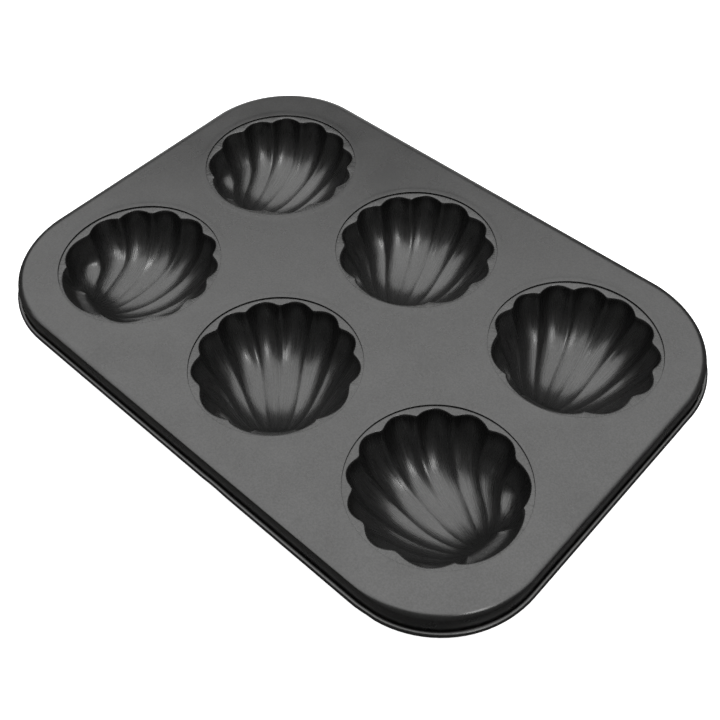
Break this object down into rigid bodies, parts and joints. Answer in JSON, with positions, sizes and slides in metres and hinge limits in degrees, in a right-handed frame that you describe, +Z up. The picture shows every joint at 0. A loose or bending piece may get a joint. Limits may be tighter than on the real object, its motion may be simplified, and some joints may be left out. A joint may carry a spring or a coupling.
{
  "type": "shell cake mould",
  "caption": "Dark non-stick baking tray with fluted shell cups set into round holes, a short skirt and a bead rolled round a wire.",
  "frame": {"origin": "under the middle of the tray, at the level that the cups stand on", "axes": "+X along the row of three cups, +Y from the near row to the far row, +Z up, out of the open cups"},
  "size_m": [0.2636, 0.1868, 0.0276],
  "materials": {
    "nonstick_coating": "satin",
    "rim_wire_steel": "plain"
  },
  "bodies": {
    "root": {"tray_frame": "nonstick_coating", "rim_wire": "rim_wire_steel", "shell_cup_1": "nonstick_coating", "shell_cup_2": "nonstick_coating", "shell_cup_3": "nonstick_coating", "shell_cup_4": "nonstick_coating", "shell_cup_5": "nonstick_coating", "shell_cup_6": "nonstick_coating"}
  },
  "joints": []
}
